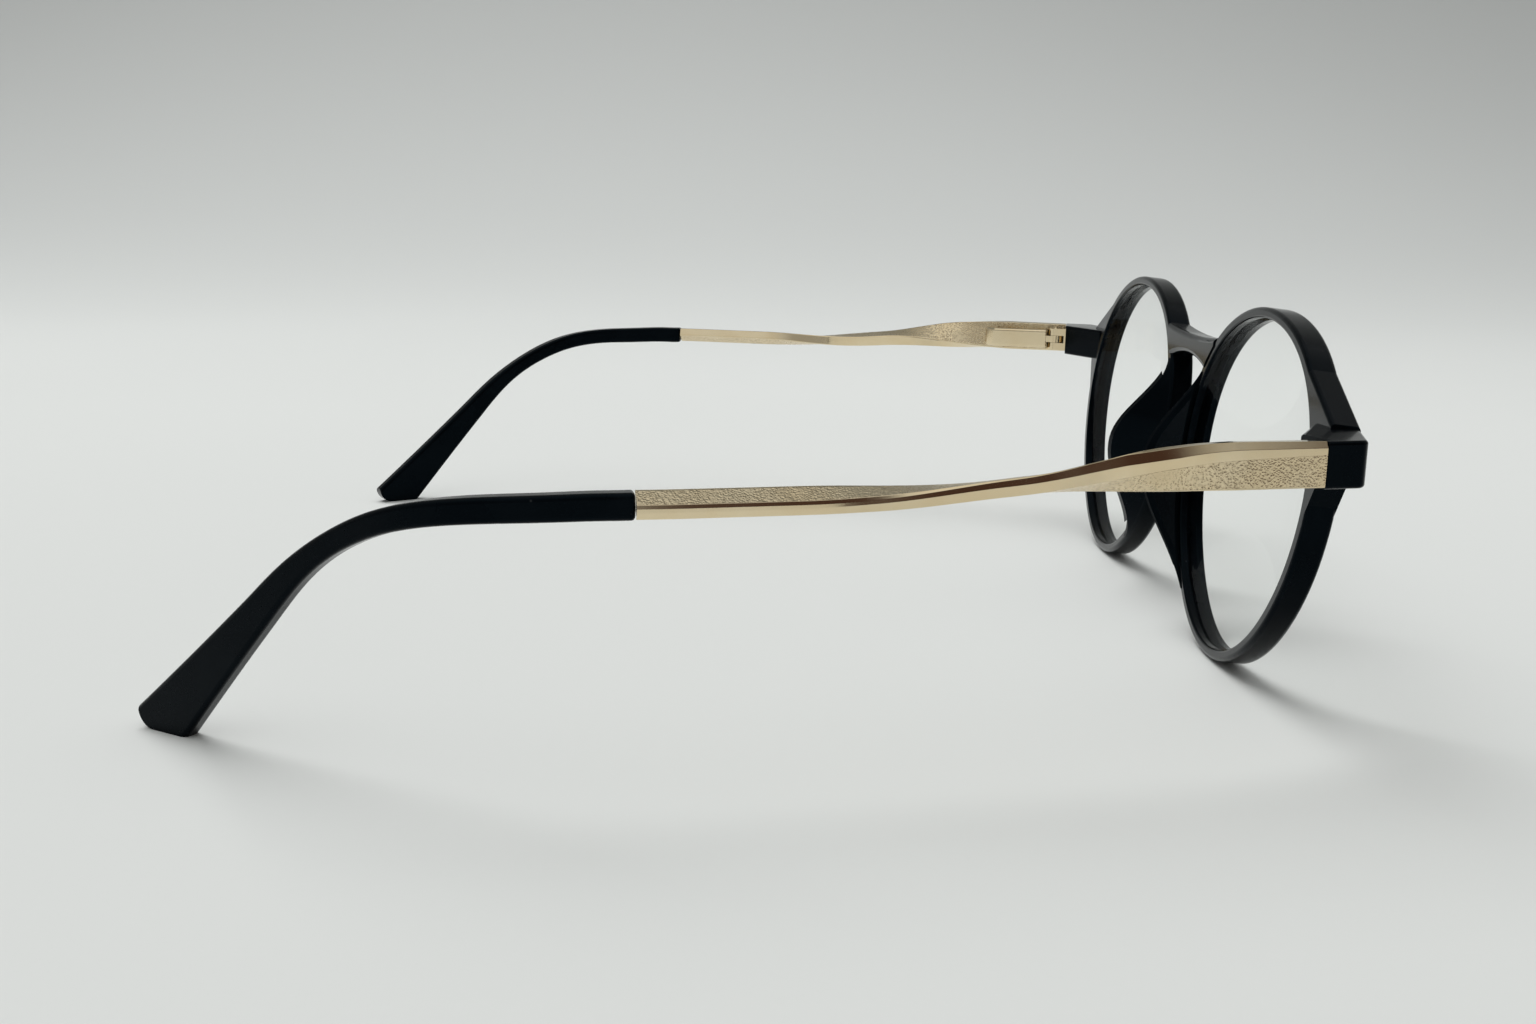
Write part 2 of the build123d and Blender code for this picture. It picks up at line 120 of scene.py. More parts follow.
def new_finish(name):
    """An empty material, the wire that starts its nodes and its output."""
    finish = bpy.data.materials.new(name)
    finish.use_nodes = True
    finish.node_tree.nodes.clear()
    start = Wire(finish.node_tree)
    end = finish.node_tree.nodes.new("ShaderNodeOutputMaterial")
    return finish, start, end


def painted(finish, start, end, inputs):
    """The material, with a surface of these inputs joined to its output."""
    surface = start.node("ShaderNodeBsdfPrincipled", {}, inputs)
    finish.node_tree.links.new(surface.socket, end.inputs["Surface"])
    return finish


def moulded_plastic(name, dullness, ripple):
    """Black plastic whose gloss shows where the surface turns away."""
    finish, start, end = new_finish(name)
    place = start.node("ShaderNodeTexCoord", {}, {}, out=3)
    cloud = start.node("ShaderNodeTexNoise", {}, {"Vector": place, "Scale": 140.0, "Detail": 3.0})
    grain = start.node("ShaderNodeTexNoise", {}, {"Vector": place, "Scale": 2600.0, "Detail": 4.0})
    swirl = start.node("ShaderNodeTexNoise", {}, {"Vector": place, "Scale": 330.0, "Detail": 1.0})
    specks = start.node("ShaderNodeTexVoronoi", {}, {"Vector": place, "Scale": 420.0, "Randomness": 1.0})
    dust = 1 - specks.between(0.035, 0.075)
    wear = cloud.between(0.42, 0.75)
    tone = (wear * 0.6 + grain.between(0.45, 0.8) * 0.25).colours(rgba(PLASTIC_DARK), rgba(PLASTIC_WORN))
    tone = (dust * cloud.between(0.52, 0.64) * 0.3).colours(tone, rgba(PLASTIC_DUST))
    rough = wear * 0.07 + grain * 0.05 + dullness
    height = swirl * ripple + grain * 0.12 + dust * 0.3
    bump = start.node("ShaderNodeBump", {}, {"Height": height, "Strength": 0.22, "Distance": 0.00008})
    glance = start.node("ShaderNodeLayerWeight", {}, {"Blend": 0.5}, out=1).between(0.32, 0.80) * 0.47
    inputs = {
        "Base Color": tone,
        "Roughness": rough,
        "Normal": bump,
        "IOR": 1.5,
        "Specular IOR Level": 0.06,
        "Specular Tint": rgba(PLASTIC_SHEEN),
        "Coat Weight": glance,
        "Coat Roughness": 0.09,
    }
    return painted(finish, start, end, inputs)


def dress(node, finish):
    """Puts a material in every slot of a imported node."""
    for slot in nodes[node].material_slots:
        slot.material = finish


dress("front_frame", moulded_plastic("front_black_plastic", dullness=0.17, ripple=1.0))


# Lenses: two clear panes with a weak outward curve, edged to a bevel that sits in the rim's groove.
# Their faces carry a thin hard coat, so they show mostly as weak reflections.

SIDES = (("left", 1), ("right", -1))
MM = 0.001
EYE_HALF_WIDTH, EYE_HALF_HEIGHT = 24.7 * MM, 22.4 * MM
EYE_LIFT = 0.115  # how much the eye widens towards its top
EYE_ACROSS, EYE_UP = 32.2 * MM, 23.8 * MM
FRONT_TILT = math.radians(5.97)
FRONT_FOOT = Vector((0.0, -63.8 * MM, 0.133 * MM))
LENS_GAP, GROOVE_DEPTH, BEVEL_HALF = 0.06 * MM, 0.7 * MM, 0.665 * MM
LENS_RADIUS, LENS_THICKNESS, LENS_CROWN = 118.0 * MM, 2.0 * MM, 2.325 * MM
LENS_TURNS, LENS_RINGS, LENS_CREASE = 180, 16, 25
PANE_TINT, PANE_SKIN = (0.993, 0.997, 0.994), (0.97, 0.98, 0.975)

front_up = Vector((0.0, -math.sin(FRONT_TILT), math.cos(FRONT_TILT)))
front_out = Vector((0.0, -math.cos(FRONT_TILT), -math.sin(FRONT_TILT)))


def lens_ring(form, share, margin, level=0.0, radius=None):
    """A ring of the pane's outline at a share of its size, on a level or on a face of this radius."""
    ring = []
    for step in range(LENS_TURNS):
        turn = 2 * math.pi * step / LENS_TURNS
        across = (EYE_HALF_WIDTH + margin) * math.cos(turn) * (1 + EYE_LIFT * math.sin(turn)) * share
        rise = (EYE_HALF_HEIGHT + margin) * math.sin(turn) * share
        out = level
        if radius:
            centre = LENS_CROWN + LENS_THICKNESS / 2 - LENS_RADIUS
            out = centre + math.sqrt(radius**2 - across**2 - rise**2)
        place = FRONT_FOOT + Vector((EYE_ACROSS + across, 0, 0))
        ring.append(form.verts.new(place + front_up * (EYE_UP + rise) + front_out * out))
    return ring


def bridge_rings(form, before, after):
    for step in range(len(before)):
        beyond = (step + 1) % len(before)
        form.faces.new((before[step], before[beyond], after[beyond], after[step]))


def finished_mesh(name, form, crease):
    """Turns a bmesh into an object at the origin, smooth but for creases past this many degrees."""
    bmesh.ops.recalc_face_normals(form, faces=form.faces)
    for face in form.faces:
        face.smooth = True
    mesh = bpy.data.meshes.new(name)
    form.to_mesh(mesh)
    form.free()
    mesh.set_sharp_from_angle(angle=math.radians(crease))
    piece = bpy.data.objects.new(name, mesh)
    bpy.context.scene.collection.objects.link(piece)
    return piece


def lens_mesh(name, way):
    """A pane: its front face from the middle outwards, its bevelled edge and its back face inwards."""
    form = bmesh.new()
    shares = [step / LENS_RINGS for step in range(1, LENS_RINGS + 1)]
    rings = [lens_ring(form, share, -LENS_GAP, radius=LENS_RADIUS) for share in shares]
    rings.append(lens_ring(form, 1, -LENS_GAP, BEVEL_HALF))
    rings.append(lens_ring(form, 1, GROOVE_DEPTH - LENS_GAP))
    rings.append(lens_ring(form, 1, -LENS_GAP, -BEVEL_HALF))
    for share in reversed(shares):
        rings.append(lens_ring(form, share, -LENS_GAP, radius=LENS_RADIUS - LENS_THICKNESS))
    form.faces.new(list(reversed(rings[0])))
    for before, after in zip(rings, rings[1:]):
        bridge_rings(form, before, after)
    form.faces.new(rings[-1])
    if way < 0:
        bmesh.ops.scale(form, vec=(-1, 1, 1), verts=form.verts)
    return finished_mesh(name, form, LENS_CREASE)


def clear_pane():
    """Clear all the way through, with a weak mirror skin that is strongest where the pane is seen aslant."""
    finish, start, end = new_finish("clear_pane")
    place = start.node("ShaderNodeTexCoord", {}, {}, out=3)
    haze = start.node("ShaderNodeTexNoise", {}, {"Vector": place, "Scale": 90.0, "Detail": 3.0})
    open_way = start.node("ShaderNodeBsdfTransparent", {}, {"Color": rgba(PANE_TINT)})
    inputs = {"Base Color": rgba(PANE_SKIN), "Roughness": haze * 0.02 + 0.005, "Metallic": 1.0}
    skin = start.node("ShaderNodeBsdfPrincipled", {}, inputs)
    facing = start.node("ShaderNodeFresnel", {}, {"IOR": 1.38})
    inside = start.node("ShaderNodeNewGeometry", {}, {}, out="Backfacing")
    mixed = start.node("ShaderNodeMixShader", {}, {0: facing * (1 - inside) * 0.15, 1: open_way, 2: skin})
    finish.node_tree.links.new(mixed.socket, end.inputs["Surface"])
    return finish


pane = clear_pane()
for side, way in SIDES:
    lens = lens_mesh("clear_lens_" + side, way)
    lens.data.materials.append(pane)
    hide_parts("lens_" + side)
    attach(lens, "front")


# Spring hinges' hidden parts: on each slider's rod, a coil of bright steel wire between a bush and a nut.
# The coil is wound cold from round wire, and the bush and nut are turned and tumbled.

STEEL = (0.60, 0.59, 0.57)
STEEL_STAINED = (0.44, 0.42, 0.40)
TEMPLE_SPLAY = math.radians(12.6)
COIL_RADIUS, WIRE_RADIUS, COIL_TURNS, COIL_PLAY = 0.86 * MM, 0.14 * MM, 7.0, 0.05 * MM
STEPS_PER_TURN, WIRE_SIDES, WIRE_CREASE = 40, 12, 50
GUIDE_LENGTH, NUT_LENGTH, SPRING_TRAVEL = 1.4 * MM, 1.2 * MM, 1.5 * MM


def worked_steel():
    """Steel with fine turning marks and a faint stain."""
    finish, start, end = new_finish("hinge_steel")
    place = start.node("ShaderNodeTexCoord", {}, {}, out=3)
    streak = start.node("ShaderNodeMapping", {}, {"Vector": place, "Scale": (1.0, 1.0, 14.0)})
    lines = start.node("ShaderNodeTexNoise", {}, {"Vector": streak, "Scale": 900.0, "Detail": 4.0})
    stain = start.node("ShaderNodeTexNoise", {}, {"Vector": place, "Scale": 700.0, "Detail": 2.0})
    tone = stain.between(0.4, 0.7).colours(rgba(STEEL), rgba(STEEL_STAINED))
    bump = start.node("ShaderNodeBump", {}, {"Height": lines, "Strength": 0.25, "Distance": 0.00003})
    inputs = {"Base Color": tone, "Metallic": 1.0, "Roughness": lines * 0.16 + 0.2, "Normal": bump}
    return painted(finish, start, end, inputs)


def grown(name, blank, tree, given):
    """The mesh that a node tree makes from a blank, with these inputs."""
    source = bpy.data.objects.new(name, blank)
    bpy.context.scene.collection.objects.link(source)
    shape = source.modifiers.new("shape", "NODES")
    shape.node_group = tree
    for item in tree.interface.items_tree:
        if item.in_out == "INPUT" and item.name in given:
            shape[item.identifier] = given[item.name]
    bpy.context.view_layer.update()
    drawn = source.evaluated_get(bpy.context.evaluated_depsgraph_get())
    mesh = bpy.data.meshes.new_from_object(drawn)
    bpy.data.objects.remove(source)
    return mesh


def coil_tree(finish):
    """Geometry nodes that wind a spring upwards from the origin and lay it along the temple."""
    tree = bpy.data.node_groups.new("wound_spring", "GeometryNodeTree")
    face = tree.interface
    face.new_socket("Blank", in_out="INPUT", socket_type="NodeSocketGeometry")
    for name in ("Turns", "Coil radius", "Wire radius", "Length", "Splay"):
        face.new_socket(name, in_out="INPUT", socket_type="NodeSocketFloat")
    face.new_socket("Foot", in_out="INPUT", socket_type="NodeSocketVector")
    face.new_socket("Left-handed", in_out="INPUT", socket_type="NodeSocketBool")
    face.new_socket("Spring", in_out="OUTPUT", socket_type="NodeSocketGeometry")
    given = tree.nodes.new("NodeGroupInput")
    start = Wire(tree)

    def size(name):
        return Wire(tree, given.outputs[name])

    winding = {
        "Resolution": STEPS_PER_TURN,
        "Rotations": size("Turns"),
        "Start Radius": size("Coil radius"),
        "End Radius": size("Coil radius"),
        "Height": size("Length") - size("Wire radius") * 2,
        "Reverse": size("Left-handed"),
    }
    rail = start.node("GeometryNodeCurveSpiral", {}, winding)
    section = {"Resolution": WIRE_SIDES, "Radius": size("Wire radius")}
    section = start.node("GeometryNodeCurvePrimitiveCircle", {"mode": "RADIUS"}, section)
    swept = {"Curve": rail, "Profile Curve": section, "Fill Caps": True}
    coil = start.node("GeometryNodeCurveToMesh", {}, swept)
    lift = start.node("ShaderNodeCombineXYZ", {}, {"Z": size("Wire radius")})
    coil = start.node("GeometryNodeTransform", {}, {"Geometry": coil, "Translation": lift})
    aim = start.node("ShaderNodeCombineXYZ", {}, {"X": math.radians(-90.0), "Z": size("Splay")})
    placed = {"Geometry": coil, "Rotation": aim, "Translation": size("Foot")}
    coil = start.node("GeometryNodeTransform", {}, placed)
    coil = start.node("GeometryNodeRealizeInstances", {}, {"Geometry": coil})
    coil = start.node("GeometryNodeSetMaterial", {}, {"Geometry": coil, "Material": finish})
    result = tree.nodes.new("NodeGroupOutput")
    tree.links.new(coil.socket, result.inputs["Spring"])
    return tree


def middle_of(node):
    """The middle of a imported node's box."""
    low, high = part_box(node)
    return (Vector(low) + Vector(high)) / 2


steel = worked_steel()
winder = coil_tree(steel)
for side, way in SIDES:
    along = Vector((way * math.sin(TEMPLE_SPLAY), math.cos(TEMPLE_SPLAY), 0.0))
    foot = middle_of("spring_guide_" + side) + along * (GUIDE_LENGTH / 2 + COIL_PLAY)
    top = middle_of("rod_nut_" + side) - along * (NUT_LENGTH / 2 + COIL_PLAY)
    length = (top - foot).length
    wound = {
        "Turns": COIL_TURNS,
        "Coil radius": COIL_RADIUS,
        "Wire radius": WIRE_RADIUS,
        "Length": length,
        "Splay": -way * TEMPLE_SPLAY,
        "Foot": tuple(foot),
        "Left-handed": way < 0,
    }
    form = bmesh.new()
    form.from_mesh(grown("wound_spring_" + side, bpy.data.meshes.new("spring_blank"), winder, wound))
    spring = finished_mesh("wound_spring_" + side, form, WIRE_CREASE)
    spring.data.materials.append(steel)
    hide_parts("hinge_spring_" + side)
    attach(spring, "slider_" + side)
    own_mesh(spring)
    for part in ("rod_nut", "spring_guide"):
        dress(part + "_" + side, steel)


# Temples: flat bars of gold-plated metal, cold-twisted by a third of a turn and set down towards the ear.
# The two broad faces are stippled before plating, and the stipple's pits are painted darker as painted
# shade; the bevels between them are polished.
# The box, leaf, screw and knuckle of each hinge are plated with the bars.

GOLD = (0.74, 0.60, 0.385)
GOLD_PALE = (0.80, 0.675, 0.46)
# The last colour here is the painted shade put into the stipple's pits.
GOLD_PIT_SHADE = (0.33, 0.235, 0.125)
BAR_START, BAR_LENGTH, BAR_RINGS = 0.08, 76.6, 240
SAME_PLACE = 0.0001 * MM
BAR_CREASE, EDGE_WIDTH, EDGE_STEPS, EDGE_CREASE = 3, 0.09 * MM, 2, 5
# The bar's sections, in mm, each turning into the next: how far along the bar it holds, half the thickness,
# how high the bottom and the outer face's top edge are, then outward and up for the bevels' three corners.
BAR_SECTIONS = (
    (0.0, 0.95, -2.48, 1.22, (0.93, 1.98), (0.53, 2.68), (-0.95, 2.60)),
    (11.0, 0.95, -2.48, 0.82, (0.92, 1.95), (0.34, 2.77), (-0.95, 2.65)),
    (18.0, 0.94, -2.32, 0.62, (0.74, 1.78), (-0.10, 2.59), (-0.94, 2.36)),
    (24.0, 0.93, -2.17, 0.64, (0.12, 1.70), (-0.82, 2.32), (-0.95, 2.30)),
    (28.5, 0.95, -1.98, 0.70, (-0.02, 1.80), (-0.95, 2.08), (-1.05, 1.95)),
    (33.0, 0.97, -1.80, 1.25, (-0.12, 1.77), (-0.88, 1.80), (-0.99, 1.68)),
    (53.0, 0.80, -1.55, 1.36, (-0.15, 1.55), (-0.50, 1.36), (-0.80, 1.10)),
)
# The narrow strips beside the broad faces, and the bottom's chamfer, in every section.
FACE_LIP, BACK_LIP, CHAMFER, OUTER_STRIP, INNER_STRIP = 0.03, 0.10, 0.13, 0.12, 0.22
CORNERS_ON_BROAD_FACES = (0, 5, 6, 11)
HINGE_PLACE = (71.2 * MM, -62.2 * MM, 33.4 * MM)
BAR_RULE = {
    "Rings": BAR_RINGS,
    "Start": BAR_START,
    "Length": BAR_LENGTH,
    "Twist start": 9.5,
    "Quick twist end": 36.0,
    "Slow twist start": 38.0,
    "Twist end": 60.0,
    "Quick twist": math.radians(79.0),
    "Slow twist": math.radians(38.0),
    "Dip": 2.4,
    "Dip start": 12.7,
    "Dip end": 51.6,
    "Bow start": 71.0,
    "Bow radius": 70.0,
    "Set in": 0.95,
}
for step, section in enumerate(BAR_SECTIONS, 1):
    BAR_RULE["Section %d run" % step] = section[0]


def plated_gold(name, stippled):
    """Pale gold plating, over stipple where the mesh says that a face is broad, with painted shade in the
    stipple's pits.
    """
    finish, start, end = new_finish(name)
    place = start.node("ShaderNodeTexCoord", {}, {}, out=3)
    pits = start.node("ShaderNodeTexVoronoi", {}, {"Vector": place, "Scale": 3600.0, "Randomness": 1.0})
    grit = start.node("ShaderNodeTexNoise", {}, {"Vector": place, "Scale": 2700.0, "Detail": 3.0})
    cloud = start.node("ShaderNodeTexNoise", {}, {"Vector": place, "Scale": 150.0, "Detail": 3.0})
    tone = cloud.between(0.3, 0.75).colours(rgba(GOLD), rgba(GOLD_PALE))
    height = grit * 0.03
    rough = cloud * 0.08 + 0.07
    if stippled:
        broad = start.node("ShaderNodeAttribute", {"attribute_name": "broad"}, {}, out=2)
        broad = broad.between(0.35, 0.95)
        stipple_depth = broad * (cloud.between(0.30, 0.50) * 0.8 + 0.2)
        pits = pits.between(0.10, 0.62)
        # Painted shade: the stipple's pits are darkened in colour, as if shaded in their hollows.
        painted_pit_shade = (1 - pits) * grit.between(0.35, 0.65) * stipple_depth
        tone = (painted_pit_shade * 0.55).colours(tone, rgba(GOLD_PIT_SHADE))
        height = (pits * 0.7 + grit * 0.7) * stipple_depth + height
        rough = broad * 0.16 + rough
    bump = start.node("ShaderNodeBump", {}, {"Height": height, "Strength": 0.6, "Distance": 0.00016})
    inputs = {"Base Color": tone, "Metallic": 1.0, "Roughness": rough, "Normal": bump}
    return painted(finish, start, end, inputs)


def twisted_bar_tree(finish):
    """Geometry nodes that draw the bar's section along the temple line, with its taper, twist and dip."""
    tree = bpy.data.node_groups.new("twisted_bar", "GeometryNodeTree")
    face = tree.interface
    face.new_socket("Section", in_out="INPUT", socket_type="NodeSocketGeometry")
    for name in BAR_RULE:
        kind = "NodeSocketInt" if name == "Rings" else "NodeSocketFloat"
        face.new_socket(name, in_out="INPUT", socket_type=kind)
    face.new_socket("Bar", in_out="OUTPUT", socket_type="NodeSocketGeometry")
    given = tree.nodes.new("NodeGroupInput")
    start = Wire(tree)

    def size(name):
        return Wire(tree, given.outputs[name])

    def eased(run, low, high, way="SMOOTHSTEP"):
        limits = {"Value": run, "From Min": size(low), "From Max": size(high)}
        return start.node("ShaderNodeMapRange", {"interpolation_type": way}, limits)

    tip = start.node("ShaderNodeCombineXYZ", {}, {"X": size("Length")})
    foot = start.node("ShaderNodeCombineXYZ", {}, {"X": size("Start")})
    rail = start.node("GeometryNodeCurvePrimitiveLine", {"mode": "POINTS"}, {"Start": foot, "End": tip})
    spaced = {"Curve": rail, "Count": size("Rings")}
    rail = start.node("GeometryNodeResampleCurve", {"mode": "COUNT"}, spaced)
    along = start.node("ShaderNodeSeparateXYZ", {}, {0: start.node("GeometryNodeInputPosition", {}, {})})
    stored = {"Geometry": rail, "Name": "run", "Value": along}
    rail = start.node("GeometryNodeStoreNamedAttribute", {"data_type": "FLOAT", "domain": "POINT"}, stored)
    outline = start.node("GeometryNodeMeshToCurve", {}, {"Mesh": size("Section")})
    swept = {"Curve": rail, "Profile Curve": outline, "Fill Caps": True}
    bar = start.node("GeometryNodeCurveToMesh", {}, swept)

    def attribute(name, kind):
        return start.node("GeometryNodeInputNamedAttribute", {"data_type": kind}, {"Name": name})

    run = attribute("run", "FLOAT")
    corner = [attribute("section_1_" + way, "FLOAT") for way in ("out", "up")]
    for step in range(2, len(BAR_SECTIONS) + 1):
        share = eased(run, "Section %d run" % (step - 1), "Section %d run" % step, "LINEAR")
        beyond = [attribute("section_%d_%s" % (step, way), "FLOAT") for way in ("out", "up")]
        corner = [old + (new - old) * share for old, new in zip(corner, beyond)]
    out, rise = corner
    turn = size("Quick twist") * eased(run, "Twist start", "Quick twist end")
    turn = turn + size("Slow twist") * eased(run, "Slow twist start", "Twist end")
    sine, cosine = turn.maths("SINE", turn), turn.maths("COSINE", turn)
    turned_out = out * cosine + rise * sine
    turned_rise = rise * cosine - out * sine
    share = (run - size("Dip start")) / (size("Dip end") - size("Dip start"))
    share = share.maths("MINIMUM", share.maths("MAXIMUM", share, 0.0), 1.0)
    level = size("Dip") * share * share * (2 * share - 3)
    slope = size("Dip") * share * (share - 1) * 6 / (size("Dip end") - size("Dip start"))
    bend = run.maths("MAXIMUM", run - size("Bow start"), 0.0) / size("Bow radius")
    bent, straight = bend.maths("SINE", bend), bend.maths("COSINE", bend)
    stretch = slope.maths("SQRT", slope * slope + 1)
    across = 0 - size("Set in") - size("Bow radius") * (1 - straight)
    ahead = run.maths("MINIMUM", run, size("Bow start")) + size("Bow radius") * bent
    place = start.node(
        "ShaderNodeCombineXYZ",
        {},
        {
            "X": across + turned_out * straight + turned_rise * bent * slope / stretch,
            "Y": ahead + turned_out * bent - turned_rise * straight * slope / stretch,
            "Z": level + turned_rise / stretch,
        },
    )
    bar = start.node("GeometryNodeSetPosition", {}, {"Geometry": bar, "Position": place})
    placed = {
        "Geometry": bar,
        "Scale": (MM, MM, MM),
        "Rotation": (0.0, 0.0, -TEMPLE_SPLAY),
        "Translation": HINGE_PLACE,
    }
    bar = start.node("GeometryNodeTransform", {}, placed)
    bar = start.node("GeometryNodeRealizeInstances", {}, {"Geometry": bar})
    bar = start.node("GeometryNodeSetMaterial", {}, {"Geometry": bar, "Material": finish})
    result = tree.nodes.new("NodeGroupOutput")
    tree.links.new(bar.socket, result.inputs["Bar"])
    return tree


def bar_corners(half, bottom, face, ridge, brow, back):
    """A section's twelve corners, outward and up from its middle, over the top from the outer face."""
    chamfer_top = bottom + CHAMFER
    corners = [(half, face - FACE_LIP), (half, face + FACE_LIP), ridge, brow, back]
    corners += [(back[0], back[1] - BACK_LIP), (-half, chamfer_top + INNER_STRIP), (-half, chamfer_top)]
    corners += [(CHAMFER - half, bottom), (half - CHAMFER, bottom), (half, chamfer_top)]
    return corners + [(half, chamfer_top + OUTER_STRIP)]


def bar_section():
    """The closed outline that the bar is drawn from, with its corners in each section as attributes."""
    mesh = bpy.data.meshes.new("bar_section")
    sections = [bar_corners(*section[1:]) for section in BAR_SECTIONS]
    first = sections[0]
    links = [(step, (step + 1) % len(first)) for step in range(len(first))]
    mesh.from_pydata([(out, rise, 0.0) for out, rise in first], links, [])
    columns = {"broad": [float(step in CORNERS_ON_BROAD_FACES) for step in range(len(first))]}
    for step, corners in enumerate(sections, 1):
        columns["section_%d_out" % step] = [out for out, rise in corners]
        columns["section_%d_up" % step] = [rise for out, rise in corners]
    for name, values in columns.items():
        mesh.attributes.new(name, "FLOAT", "POINT").data.foreach_set("value", values)
    return mesh


gold = plated_gold("temple_gold", True)
hinge_gold = plated_gold("hinge_gold", False)
drawn_bar = grown("temple_bar_blank", bar_section(), twisted_bar_tree(gold), BAR_RULE)
for side, way in SIDES:
    form = bmesh.new()
    form.from_mesh(drawn_bar)
    bmesh.ops.remove_doubles(form, verts=form.verts, dist=SAME_PLACE)
    if way < 0:
        bmesh.ops.scale(form, vec=(-1, 1, 1), verts=form.verts)
    bar = finished_mesh("twisted_bar_" + side, form, BAR_CREASE)
    bar.data.materials.append(gold)
    edge = bar.modifiers.new("polished_edges", "BEVEL")
    edge.width, edge.segments = EDGE_WIDTH, EDGE_STEPS
    edge.limit_method, edge.angle_limit = "ANGLE", math.radians(EDGE_CREASE)
    edge.harden_normals = True
    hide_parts("temple_" + side)
    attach(bar, "temple_" + side)
    for part in ("spring_box", "hinge_leaf", "hinge_screw", "hinge_slider"):
        dress(part + "_" + side, hinge_gold)


# Tips: black plastic sleeves over the temples' core wires, bent down behind the ear to flat paddles.
# The plastic is the front's, a little less polished.

tip_plastic = moulded_plastic("tip_black_plastic", dullness=0.24, ripple=0.7)
for side, way in SIDES:
    dress("temple_tip_" + side, tip_plastic)


# Table and backdrop: one sheet of matt white card, laid flat under the glasses and curved up behind them.
# It starts well in front of the glasses and is painted darker towards the back, a painted shade where the
# light falls off.

# The last colour of the card is the painted shade at its back.
CARD, CARD_PALE, CARD_PAINTED_SHADE = (0.72, 0.735, 0.72), (0.75, 0.765, 0.75), (0.575, 0.59, 0.58)
CARD_NEAR, CARD_BEND, CARD_RADIUS, CARD_TOP, CARD_HALF_WIDTH = -1.6, 0.45, 1.5, 3.0, 2.6
BEND_STEPS = 40

card_mesh = bpy.data.meshes.new("card_sweep")
card = bpy.data.objects.new("card_sweep", card_mesh)
bpy.context.scene.collection.objects.link(card)
profile = [(CARD_NEAR, 0.0)]
for step in range(BEND_STEPS + 1):
    turn = math.radians(90 * step / BEND_STEPS)
    profile.append((CARD_BEND + CARD_RADIUS * math.sin(turn), CARD_RADIUS - CARD_RADIUS * math.cos(turn)))
profile.append((CARD_BEND + CARD_RADIUS, CARD_TOP))
form = bmesh.new()
rows = []
for along, rise in profile:
    rows.append([form.verts.new((along, across, rise)) for across in (-CARD_HALF_WIDTH, CARD_HALF_WIDTH)])
for before, after in zip(rows, rows[1:]):
    face = form.faces.new((before[0], after[0], after[1], before[1]))
    face.smooth = True
form.normal_update()
form.to_mesh(card_mesh)
form.free()

card_finish, start, end = new_finish("white_card")
place = start.node("ShaderNodeTexCoord", {}, {}, out=3)
fibre = start.node("ShaderNodeTexNoise", {}, {"Vector": place, "Scale": 900.0, "Detail": 4.0})
patch = start.node("ShaderNodeTexNoise", {}, {"Vector": place, "Scale": 3.0, "Detail": 2.0})
tone = (fibre * 0.2 + patch.between(0.3, 0.7) * 0.5).colours(rgba(CARD), rgba(CARD_PALE))
back = start.node("ShaderNodeSeparateXYZ", {}, {0: place})
# Painted shade: the card's colour darkens towards the back and up the curve.
tone = (back.between(0.10, 0.80) * 0.9).colours(tone, rgba(CARD_PAINTED_SHADE))
card_mesh.materials.append(painted(card_finish, start, end, {"Base Color": tone, "Roughness": 0.85}))


# Light: one wide soft panel high behind the glasses, in a pale room with a bright ceiling and dark doorway.
# The doorway stands low behind the viewpoint and makes the bars' brown bands.
# The panel is left out of mirror reflections, where it would wash out the gold.

PANEL_PLACE, PANEL_AIM = (0.94, 0.50, 1.64), (0.12, -0.16, 0.0)
PANEL_SIZE, PANEL_POWER, PANEL_SPREAD = 1.4, 7.6, 85.0
CEILING_WAY, CEILING_GLOW, WALL_GLOW = (-0.2, 0.1, 1.0), 0.50, 0.37
DOORWAY_WAY, DOORWAY_SHADE = (-0.68, -0.55, 0.33), 0.95
ROOM_DARK, ROOM_WHITE = (0.0, 0.0, 0.0), (0.985, 1.0, 0.99)
DOORWAY_BROWN, ROOM_SEEN = (0.050, 0.020, 0.012), (0.70, 0.715, 0.70)

light = bpy.data.lights.new("overhead_panel", "AREA")
light.shape = "RECTANGLE"
light.size = light.size_y = PANEL_SIZE
light.energy = PANEL_POWER
light.spread = math.radians(PANEL_SPREAD)
lamp = bpy.data.objects.new("overhead_panel", light)
lamp.location = PANEL_PLACE
lamp.rotation_euler = (Vector(PANEL_AIM) - Vector(PANEL_PLACE)).to_track_quat("-Z", "Y").to_euler()
lamp.visible_glossy = False
bpy.context.scene.collection.objects.link(lamp)

world = bpy.data.worlds.new("pale_room")
bpy.context.scene.world = world
world.use_nodes = True
room = world.node_tree.nodes["Background"]
start = Wire(world.node_tree)
toward = start.node("ShaderNodeTexCoord", {}, {}, out=0)


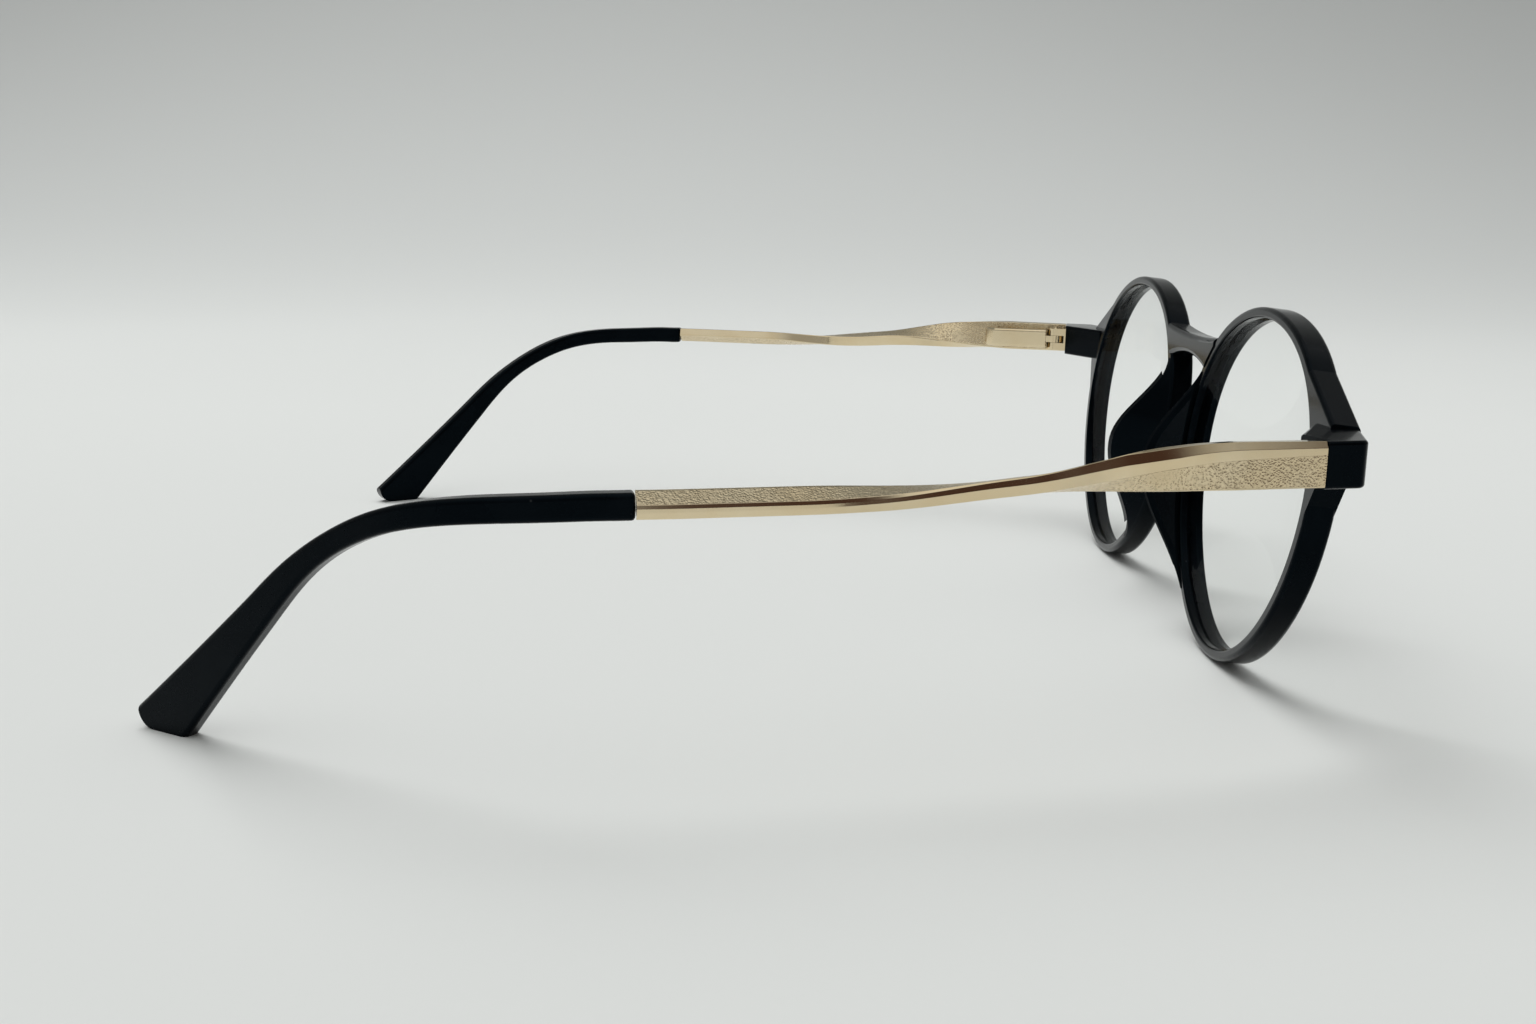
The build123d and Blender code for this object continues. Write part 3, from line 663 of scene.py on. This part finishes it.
def patch_of_room(direction, narrow, wide):
    """1 within the narrow angle of a direction, 0 beyond the wide one."""
    aim = tuple(Vector(direction).normalized())
    ends = {0: toward, 1: aim}
    near = start.node("ShaderNodeVectorMath", {"operation": "DOT_PRODUCT"}, ends, out="Value")
    return near.between(math.cos(math.radians(wide)), math.cos(math.radians(narrow)))


ceiling = patch_of_room(CEILING_WAY, narrow=8, wide=48)
doorway = patch_of_room(DOORWAY_WAY, narrow=8, wide=35)
glow = (ceiling * CEILING_GLOW + WALL_GLOW).colours(rgba(ROOM_DARK), rgba(ROOM_WHITE))
glow = (doorway * DOORWAY_SHADE).colours(glow, rgba(DOORWAY_BROWN))
seen = start.node("ShaderNodeLightPath", {}, {}, out="Is Camera Ray")
glow = seen.colours(glow, rgba(ROOM_SEEN))
world.node_tree.links.new(glow.socket, room.inputs["Color"])
room.inputs["Strength"].default_value = 1.0


# Viewpoint: beside the right temple, just above the table.
# It looks straight across both temples, a little down.

YAW, PITCH, ROLL = math.radians(1.69), math.radians(11.68), math.radians(1.223)
VIEW_PLACE = (-0.24795, 0.00437, 0.06383)
FOCAL_LENGTH, SENSOR_WIDTH = 38.67, 36.0

ahead = Vector((math.cos(YAW) * math.cos(PITCH), -math.sin(YAW) * math.cos(PITCH), -math.sin(PITCH)))
level_right = Vector((-math.sin(YAW), -math.cos(YAW), 0.0))
level_up = level_right.cross(ahead)
right = math.cos(ROLL) * level_right + math.sin(ROLL) * level_up
up = math.cos(ROLL) * level_up - math.sin(ROLL) * level_right
view = bpy.data.cameras.new("viewpoint")
view.lens = FOCAL_LENGTH
view.sensor_width = SENSOR_WIDTH
view.clip_start = 0.01
camera = bpy.data.objects.new("viewpoint", view)
camera.matrix_world = Matrix(
    (
        (right.x, up.x, -ahead.x, VIEW_PLACE[0]),
        (right.y, up.y, -ahead.y, VIEW_PLACE[1]),
        (right.z, up.z, -ahead.z, VIEW_PLACE[2]),
        (0.0, 0.0, 0.0, 1.0),
    )
)
bpy.context.scene.collection.objects.link(camera)
bpy.context.scene.camera = camera
bpy.context.scene.view_settings.view_transform = "Standard"
